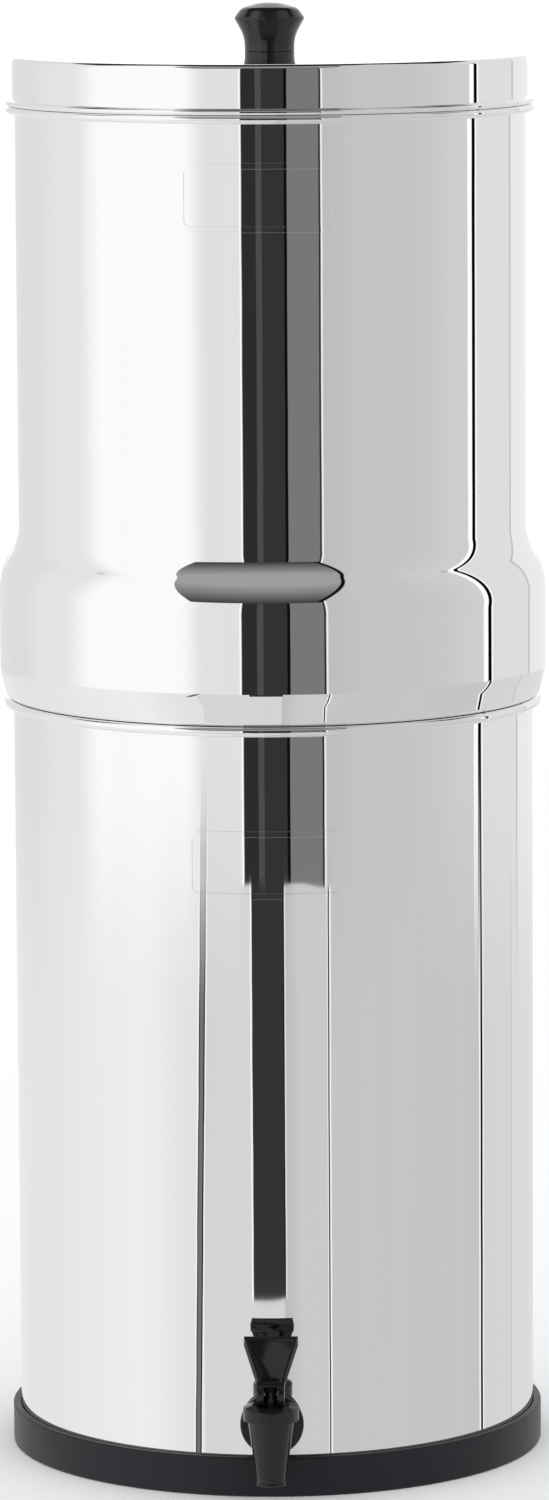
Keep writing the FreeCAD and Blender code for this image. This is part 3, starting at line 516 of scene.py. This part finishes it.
FIT = 0.08
BONNET_R = 14.3
BONNET_EDGE = 14.5
BONNET_FACE_R = 9.8
BONNET_TOP = 16.1
BONNET_ROOF = 13.6
STEM_R = 3.2
STEM_TIP_R = 1.92
STEM_FOOT = -4.95
STEM_STEP = 0.05
STEM_TOP = 24.9
bonnet_outline = rounded([
    (NECK_R + FIT, SHOULDER, 0.2), (BONNET_R, SHOULDER, 0.5), (BONNET_R, BONNET_EDGE, 0.9),
    (BONNET_FACE_R, BONNET_TOP, 0.8), (STEM_R + FIT, BONNET_TOP, 0.3), (STEM_R + FIT, BONNET_ROOF, 0.2),
    (CHEST_R, BONNET_ROOF, 0.2), (CHEST_R, NECK_TOP + FIT, 0.12), (NECK_R + FIT, NECK_TOP + FIT, 0.12)],
    closed=True)
bonnet = skin("bonnet_cap", bonnet_outline, 128, closed=True, centre=tap_axis, lift=TAP_Z)
stand_in("bonnet_cap", bonnet, tap_black, "base", "black_gloss_plastic", "tap_bonnet")
stem_outline = rounded([(0.0, STEM_FOOT, 0.0), (STEM_TIP_R, STEM_FOOT, 0.2), (STEM_TIP_R, STEM_STEP, 0.2),
                        (STEM_R, STEM_STEP, 0.3), (STEM_R, STEM_TOP, 2.2), (0.0, STEM_TOP, 0.0)])
stem = skin("stem_rod", stem_outline, 64, centre=tap_axis, lift=TAP_Z)
stand_in("stem_rod", stem, tap_black, "plunger", "black_gloss_plastic", "tap_stem")
cup_clear = moulded("cup_silicone", (0.42, 0.43, 0.42), (0.5, 0.51, 0.5),
                    shine=0.35, shine_change=0.1, grain=300.0, depth=0.00002)
painted("seat_cup", cup_clear)
wire_steel = polished("wire_steel", (0.7, 0.7, 0.69), shine=0.2)
painted("tap_spring", wire_steel)

# Lever and pin
# One black moulding: two cheeks straddle the rod's head and roll on the bonnet, and the paddle above them
# has a sunk face, a thick top edge and a rib down its back. A short steel pin goes through cheeks and rod.


EDGE_ROUND = 0.45
EDGE_ANGLE = 30.0
MERGE_ANGLE = 0.5


def softened(node):
    """A copy of a machined or moulded solid whose edges are rounded a little."""
    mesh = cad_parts[node].data.copy()
    piece = bpy.data.objects.new("soft_" + node, mesh)
    bpy.context.scene.collection.objects.link(piece)
    merge = piece.modifiers.new("merge", "WELD")
    merge.merge_threshold = 0.00001
    clean = piece.modifiers.new("clean", "DECIMATE")
    clean.decimate_type = "DISSOLVE"
    clean.angle_limit = math.radians(MERGE_ANGLE)
    edge = piece.modifiers.new("edge", "BEVEL")
    edge.width = EDGE_ROUND / 1000.0
    edge.segments = 3
    edge.limit_method = "ANGLE"
    edge.angle_limit = math.radians(EDGE_ANGLE)
    edge.harden_normals = True
    graph = bpy.context.evaluated_depsgraph_get()
    result = bpy.data.meshes.new_from_object(piece.evaluated_get(graph), depsgraph=graph)
    bpy.data.objects.remove(piece)
    result.name = "soft_" + node
    result.shade_smooth()
    return result


stand_in("lever_paddle", softened("tap_lever"), tap_black, "lever", "black_gloss_plastic", "tap_lever")
pin_steel = polished("pin_steel", (0.6, 0.6, 0.59), shine=0.25)
painted("lever_pin", pin_steel)

# Upper chamber
# The same polished sheet: a straight wall with a rolled edge, drawn out at its foot into a wider bulge that
# hides the lower chamber's bead. Its floor nests in the lower chamber's mouth and has eight holes on one
# circle.

UPPER_R = 133.1
UPPER_MOUTH_R = UPPER_R - SHEET
UPPER_BEAD_R = 137.9
UPPER_BEAD_BEND = 1.9
UPPER_BEAD_FOOT = 705.8
UPPER_RIM = 709.8
UPPER_EDGE = 704.0
UPPER_FLOOR = 388.2
NEST_R = 135.3
FOOT_R = 140.2
BULGE_R = 143.5
BULGE_FOOT = 414.2
BULGE_TOP = 466.2
FLARE_SLOPE = math.radians(33.0)
HOLES = 8
HOLE_R = 6.6
HOLE_CIRCLE = 88.0
DRILL_FOOT = 380.0
DRILL_TOP = 395.0


def on_circle(turn):
    """The place on the floor's circle of holes at this many degrees."""
    return HOLE_CIRCLE * math.cos(math.radians(turn)), HOLE_CIRCLE * math.sin(math.radians(turn))


flare_top = BULGE_TOP + (BULGE_R - UPPER_R) / math.tan(FLARE_SLOPE)
upper_wall = [(0.0, UPPER_FLOOR, 0.0), (NEST_R, UPPER_FLOOR, FLOOR_BEND), (NEST_R, SEAM, 0.8),
              (FOOT_R, SEAM, 3.0), (BULGE_R, BULGE_FOOT, 30.0), (BULGE_R, BULGE_TOP, 36.0),
              (UPPER_R, flare_top, 25.0)]
upper_shell = rounded(upper_wall + [
    (UPPER_R, UPPER_BEAD_FOOT, 0.5), (UPPER_BEAD_R, UPPER_BEAD_FOOT, UPPER_BEAD_BEND),
    (UPPER_BEAD_R, UPPER_RIM, UPPER_BEAD_BEND), (UPPER_MOUTH_R, UPPER_RIM, 1.5),
    (UPPER_MOUTH_R, UPPER_EDGE, 0.0)])
upper_shell += offset(rounded(upper_wall + [(UPPER_R, UPPER_EDGE, 0.0)]), SHEET)
hole_outline = rounded([(0.0, DRILL_FOOT, 0.0), (HOLE_R, DRILL_FOOT, 0.0), (HOLE_R, DRILL_TOP, 0.0),
                        (0.0, DRILL_TOP, 0.0)])
drills = [skin("drill", hole_outline, 40, centre=on_circle(360.0 / HOLES * order)) for order in range(HOLES)]
upper_mesh = drilled(skin("upper_shell", upper_shell, 360), upper_shell, drills)
stand_in("upper_shell", upper_mesh, steel, "upper", "polished_steel", "upper_chamber")
upper_frame = grow("upper_frame", bpy.data.meshes.new("upper_frame"), raised_frame,
                   {**frame_sizes, "Wall Radius": UPPER_R / 1000.0,
                    "Turn": math.radians(-1.65), "Level": 0.66825})
stand_in("upper_frame", upper_frame, steel, "upper", "polished_steel")

# Filter candles and plugs
# Four black carbon candles stand on plastic bases in the upper chamber, each on a sealing washer and drawn
# down by a wing nut under the floor. Rubber stoppers close the four holes between them.

carbon = moulded("pressed_carbon", (0.010, 0.010, 0.010), (0.030, 0.030, 0.031),
                 shine=0.72, shine_change=0.2, grain=1500.0, depth=0.0001)
base_plastic = moulded("base_plastic", (0.030, 0.030, 0.032), (0.05, 0.05, 0.052),
                       shine=0.4, shine_change=0.1, grain=500.0, depth=0.00003)
plug_rubber = moulded("plug_rubber", (0.10, 0.10, 0.10), (0.15, 0.15, 0.148),
                      shine=0.62, shine_change=0.12, grain=700.0, depth=0.00004)
CANDLES = HOLES // 2
CANDLE_R = 28.5
CANDLE_FOOT = 403.0
CANDLE_TOP = 620.0
THREAD_R = 6.2
THREAD_BORE_R = 3.1
THREAD_FOOT = 363.2
BASE_FACE_R = 22.8
BASE_EDGE = 394.6
WASHER_TOP = 391.0
FLOOR_TOP = UPPER_FLOOR + SHEET
PLUG_NECK_R = 6.52
PLUG_BRIM_R = 11.0
PLUG_TIP_R = 5.0
PLUG_BARB_R = 8.5
PLUG_BARB = 388.12
PLUG_FOOT = 379.2
PLUG_TOP = 393.0
candle = rounded([(0.0, CANDLE_FOOT, 0.0), (CANDLE_R, CANDLE_FOOT, 0.6), (CANDLE_R, CANDLE_TOP, 5.0),
                  (0.0, CANDLE_TOP, 0.0)])
foot = rounded([(THREAD_BORE_R, THREAD_FOOT, 0.3), (THREAD_R, THREAD_FOOT, 0.5), (THREAD_R, WASHER_TOP, 0.2),
                (BASE_FACE_R, WASHER_TOP, 0.6), (CANDLE_R, BASE_EDGE, 1.0), (CANDLE_R, CANDLE_FOOT, 0.5),
                (THREAD_BORE_R, CANDLE_FOOT, 0.3)], closed=True)
plug = rounded([(0.0, PLUG_FOOT, 0.0), (PLUG_TIP_R, PLUG_FOOT, 1.0), (PLUG_BARB_R, PLUG_BARB, 0.8),
                (PLUG_NECK_R, PLUG_BARB, 0.2), (PLUG_NECK_R, FLOOR_TOP, 0.2), (PLUG_BRIM_R, FLOOR_TOP, 0.6),
                (PLUG_BRIM_R, PLUG_TOP, 1.2), (0.0, PLUG_TOP, 0.0)])
for order in range(CANDLES):
    spot = on_circle(360.0 / CANDLES * order)
    stand_in("candle_%d" % (order + 1), skin("candle", candle, 96, centre=spot), carbon,
             "upper", "black_carbon", "filter_element_%d" % (order + 1))
    stand_in("candle_base_%d" % (order + 1), skin("candle_base", foot, 96, closed=True, centre=spot),
             base_plastic, "upper", "moulded_plastic", "element_base_%d" % (order + 1))
    spot = on_circle(360.0 / CANDLES * (order + 0.5))
    stand_in("stopper_%d" % (order + 1), skin("stopper", plug, 64, centre=spot), plug_rubber,
             "upper", "plug_rubber", "blocking_plug_%d" % (order + 1))


def circle_tree():
    """Copies of one piece at equal turns round the upright axis."""
    group = bpy.data.node_groups.new("round_the_floor", "GeometryNodeTree")
    tree = Tree(group.nodes, group.links)
    group.interface.new_socket("Geometry", in_out="OUTPUT", socket_type="NodeSocketGeometry")
    group.interface.new_socket("Geometry", in_out="INPUT", socket_type="NodeSocketGeometry")
    group.interface.new_socket("Count", in_out="INPUT", socket_type="NodeSocketInt")
    group.interface.new_socket("Circle Radius", in_out="INPUT", socket_type="NodeSocketFloat")
    group.interface.new_socket("Finish", in_out="INPUT", socket_type="NodeSocketMaterial")
    sizes = tree.node("NodeGroupInput")
    spots = tree.node("GeometryNodeMeshCircle", {"fill_type": "NONE"},
                      {"Vertices": sizes.pick("Count"), "Radius": sizes.pick("Circle Radius")})
    angle = tree.node("GeometryNodeInputIndex") * math.tau / sizes.pick("Count")
    turned = tree.node("ShaderNodeCombineXYZ", {}, {2: angle})
    copies = tree.node("GeometryNodeInstanceOnPoints", {},
                       {"Points": spots, "Instance": sizes.pick("Geometry"), "Rotation": turned})
    copies = tree.node("GeometryNodeRealizeInstances", {}, {0: copies})
    copies = tree.node("GeometryNodeSetMaterial", {}, {"Geometry": copies, "Material": sizes.pick("Finish")})
    tree.node("NodeGroupOutput", {}, {0: copies})
    return group


round_the_floor = circle_tree()
WASHER_R = 16.0
washer = rounded([(THREAD_R + FIT, FLOOR_TOP, 0.2), (WASHER_R, FLOOR_TOP, 0.4), (WASHER_R, WASHER_TOP, 0.4),
                  (THREAD_R + FIT, WASHER_TOP, 0.2)], closed=True)
washers = grow("candle_washers", skin("candle_washers", washer, 64, closed=True), round_the_floor,
               {"Count": CANDLES, "Circle Radius": HOLE_CIRCLE / 1000.0, "Finish": plug_rubber})
stand_in("candle_washers", washers, plug_rubber, "upper", "black_washer_rubber", "element_washers")
painted("element_wing_nuts", base_plastic)

# Lid
# Pressed from the same sheet: a slightly crowned top, a straight wall, a rolled bead that rests on the upper
# chamber's edge, and a skirt inside it that centres the lid.

LID_R = 134.5
LID_EDGE = 735.2
LID_TOP = 736.9
LID_INNER_EDGE = 734.42
LID_CROWN_R = 20.0
LID_CROWN_BEND = 800.0
LID_BEAD_TOP = 712.8
LID_BEAD_BEND = 1.42
LID_STEP = UPPER_RIM + SHEET
SKIRT_R = 131.8
SKIRT_FOOT = 701.8
SCREW_HOLE_R = 2.58
lid_outline = rounded([
    (SCREW_HOLE_R, LID_TOP - SHEET, 0.15), (LID_CROWN_R, LID_TOP - SHEET, LID_CROWN_BEND),
    (LID_R - SHEET, LID_INNER_EDGE, 1.7), (LID_R - SHEET, LID_STEP, 0.3), (SKIRT_R - SHEET, LID_STEP, 0.3),
    (SKIRT_R - SHEET, SKIRT_FOOT, 0.35), (SKIRT_R, SKIRT_FOOT, 0.35), (SKIRT_R, UPPER_RIM, 0.3),
    (UPPER_BEAD_R, UPPER_RIM, LID_BEAD_BEND), (UPPER_BEAD_R, LID_BEAD_TOP, LID_BEAD_BEND),
    (LID_R, LID_BEAD_TOP, 0.4), (LID_R, LID_EDGE, 2.5), (LID_CROWN_R, LID_TOP, LID_CROWN_BEND),
    (SCREW_HOLE_R, LID_TOP, 0.15)], closed=True)
stand_in("lid_cover", skin("lid_cover", lid_outline, 360, closed=True), steel,
         "lid", "polished_steel", "lid_shell")

# Knob, washer and screw
# A black moulding, round like a turned one, with a waisted neck and a crowned head. It stands on the lid,
# held by one pan head screw and washer from inside.

KNOB_R = 18.4
KNOB_TOP = 762.0
KNOB_NECK_R = 13.0
KNOB_NECK_TOP = 744.3
KNOB_WIDEST = 754.1
KNOB_SHOULDER_R = 14.6
KNOB_SHOULDER = 759.3
KNOB_CROWN_R = 5.0
KNOB_HOLE_END = 751.4
knob_outline = rounded([
    (0.0, KNOB_HOLE_END, 0.0), (SCREW_HOLE_R, KNOB_HOLE_END, 0.3), (SCREW_HOLE_R, LID_TOP, 0.3),
    (KNOB_NECK_R, LID_TOP, 0.4), (KNOB_NECK_R, KNOB_NECK_TOP, 18.0), (KNOB_R, KNOB_WIDEST, 1.6),
    (KNOB_SHOULDER_R, KNOB_SHOULDER, 6.0), (KNOB_CROWN_R, KNOB_TOP, 24.0), (0.0, KNOB_TOP, 0.0)])
knob_black = moulded("gloss_knob_black", (0.008, 0.008, 0.010), (0.014, 0.014, 0.017),
                     shine=0.16, shine_change=0.08, grain=240.0, depth=0.00002)
stand_in("knob_moulding", skin("knob_moulding", knob_outline, 160), knob_black,
         "lid", "black_gloss_plastic", "lid_knob")
screw_steel = polished("screw_steel", (0.66, 0.66, 0.65), shine=0.22)
painted("knob_washer", screw_steel)
painted("knob_screw", screw_steel)

# Studio
# A pale floor, even light from all round, and what the polished steel mirrors: bright paper walls, a dark
# opening at the camera with grey panels beside it, and thin dark joints between the panels. What the steel
# mirrors low down, overhead and behind differs, and only mirror rays see it.

FLOOR_HALF = 3.0
floor_mesh = bpy.data.meshes.new("studio_floor")
floor_mesh.from_pydata([(-FLOOR_HALF, -FLOOR_HALF, 0.0), (FLOOR_HALF, -FLOOR_HALF, 0.0),
                        (FLOOR_HALF, FLOOR_HALF, 0.0), (-FLOOR_HALF, FLOOR_HALF, 0.0)], [], [(0, 1, 2, 3)])
studio_floor = bpy.data.objects.new("studio_floor", floor_mesh)
bpy.context.scene.collection.objects.link(studio_floor)
floor_finish, floor_nodes = new_finish("studio_floor")
paper = floor_nodes.node("ShaderNodeBsdfDiffuse", {}, {"Color": (1.0, 1.0, 1.0, 1.0)})
floor_nodes.node("ShaderNodeOutputMaterial", {}, {"Surface": paper})
floor_mesh.materials.append(floor_finish)
studio_floor.visible_glossy = False

CAMERA_TURN = math.radians(1.15)


def light_level(level):
    """How bright the studio is where the steel shows this grey of 255."""
    share = level / 255.0
    linear = share / 12.92 if share <= 0.04045 else ((share + 0.055) / 1.055) ** 2.4
    return linear / STEEL_TONE


def panels(across, first, edges):
    """Greys round the studio: the first one, then each (edge, blur, grey) in degrees across the view."""
    total = None
    before = light_level(first)
    for edge, blur, level in edges:
        value = light_level(level)
        part = across.past(edge, blur) * (value - before)
        total = part if total is None else total + part
        before = value
    return total + light_level(first)


def over(below, above, share):
    """One level laid over another where the share is 1."""
    return below * (1.0 - share) + above * share


def between(across, start, end, blur):
    """1 from start to end and 0 outside, in degrees."""
    return across.past(start, blur) * (1.0 - across.past(end, blur))


PATTERN_SPLIT = -9.0
STRIP_END = -12.35
OVERHEAD_EDGE = 20.0
world = bpy.data.worlds.new("studio")
bpy.context.scene.world = world
world.use_nodes = True
world.node_tree.nodes.clear()
studio = Tree(world.node_tree.nodes, world.node_tree.links)
way = studio.node("ShaderNodeSeparateXYZ", {}, {0: studio.node("ShaderNodeTexCoord").pick("Generated")})
beside = way.pick("X") * math.cos(CAMERA_TURN) + way.pick("Y") * math.sin(CAMERA_TURN)
ahead = way.pick("X") * math.sin(CAMERA_TURN) - way.pick("Y") * math.cos(CAMERA_TURN)
azimuth = beside.called("ARCTAN2", ahead) * (180.0 / math.pi)
elevation = way.pick("Z").called("ARCSINE") * (180.0 / math.pi)
high = panels(azimuth, 219, [
    (-122, 16.0, 229), (-90, 9.0, 251), (-34, 6.0, 225), (-13.9, 0.2, 255), (-13.1, 0.3, 44), (-6.6, 0.2, 76),
    (-4.0, 0.3, 50), (5.9, 0.2, 12), (7.2, 0.2, 119), (21.3, 0.2, 45), (22.2, 0.2, 240), (23.0, 0.3, 190),
    (32, 8.0, 196), (80, 22.0, 207), (99.6, 0.3, 255), (102.6, 0.15, 4), (104.9, 0.2, 252), (106.0, 0.4, 221),
    (136.8, 0.4, 190), (138.6, 0.4, 231)])
low = panels(azimuth, 227, [
    (-95, 35.0, 238), (-50, 14.0, 226), (-32.2, 0.3, 213), (3.7, 0.1, 190), (8, 4.0, 202), (22.9, 0.12, 240),
    (23.3, 0.1, 20), (23.9, 0.1, 245), (24.6, 0.2, 197), (103.0, 0.15, 250), (104.0, 0.12, 3),
    (105.5, 0.15, 248), (106.3, 0.2, 212), (130.4, 0.3, 191), (131.4, 0.3, 216)])
leaning = azimuth - (elevation + 11.9) * 0.85
joint = between(leaning, -36.0, -32.0, 0.1) * elevation.past(-14.5, 0.5)
low_joint = panels(leaning, 248, [(-35.4, 0.12, 50), (-34.9, 0.2, 112), (-33.2, 0.12, 8), (-32.6, 0.12, 246)])
low = over(low, low_joint, joint)
opening = between(azimuth, -10.9, 4.7, 0.1) * elevation.past(STRIP_END, 0.012)
low_opening = panels(azimuth, 245, [(-10.1, 0.12, 51), (3.6, 0.1, 10), (4.1, 0.1, 225)])
low = over(low, low_opening, opening)
middle = between(azimuth, -15.0, 25.5, 0.3)
above_split = over(elevation.past(PATTERN_SPLIT, 1.2), elevation.past(PATTERN_SPLIT, 0.015), middle)
round_view = over(low, high, above_split)
overhead = studio.node("ShaderNodeMapRange", {}, {"Value": elevation, "From Min": 21.0, "From Max": 50.0,
                                                  "To Min": light_level(62), "To Max": light_level(158)})
left_end = azimuth + (elevation - OVERHEAD_EDGE - 2.0) * 0.67
right_end = azimuth - (elevation - OVERHEAD_EDGE) * 0.65
overhead = over(overhead, light_level(14), right_end.past(18.5, 0.5))
span = left_end.past(-37.0, 0.5) * (1.0 - right_end.past(21.0, 0.5)) * elevation.past(OVERHEAD_EDGE, 0.6)
mirrored_view = over(round_view, overhead, span)
back_wall = azimuth.called("ABSOLUTE").past(168.0, 4.0) * elevation.past(-2.0, 1.5)
mirrored_view = over(mirrored_view, light_level(264), back_wall)
behind = 1.0 - ahead.past(-0.1, 0.05)
dark_top = (behind * elevation.past(40.0, 2.0)).called("MAXIMUM", elevation.past(68.0, 2.0))
mirrored_view = over(mirrored_view, light_level(36), dark_top)
mirrored = studio.node("ShaderNodeLightPath").pick("Is Glossy Ray")
level = over(1.0, mirrored_view, mirrored)
backdrop = studio.node("ShaderNodeBackground", {}, {
    "Color": studio.node("ShaderNodeCombineColor", {}, {0: level, 1: level, 2: level}), "Strength": 1.0})
studio.node("ShaderNodeOutputWorld", {}, {"Surface": backdrop})

# Camera
# Far off and a little higher than the knob, looking down at the middle of the filter through a long lens.
# Its small turn and roll are the photograph's.

AIM_X = 0.000464
AIM_Z = 0.3693
DISTANCE = 3.720
TILT = math.radians(7.88)
ROLL = math.radians(-0.331)
LENS = 169.1
right = Vector((1.0, 0.0, 0.0))
up = Vector((0.0, math.sin(TILT), math.cos(TILT)))
forward = Vector((0.0, math.cos(TILT), -math.sin(TILT)))
place = Vector((AIM_X, -DISTANCE * math.cos(TILT), AIM_Z + DISTANCE * math.sin(TILT)))
rolled_right = right * math.cos(ROLL) + up * math.sin(ROLL)
rolled_up = up * math.cos(ROLL) - right * math.sin(ROLL)
pose = Matrix((rolled_right, rolled_up, -forward)).transposed().to_4x4()
pose.translation = place
lens = bpy.data.cameras.new("camera")
lens.sensor_fit = "VERTICAL"
lens.sensor_height = 36.0
lens.lens = LENS
lens.clip_end = 20.0
camera = bpy.data.objects.new("camera", lens)
bpy.context.scene.collection.objects.link(camera)
camera.matrix_world = Matrix.Rotation(CAMERA_TURN, 4, "Z") @ pose
bpy.context.scene.camera = camera
bpy.context.scene.view_settings.view_transform = "Standard"
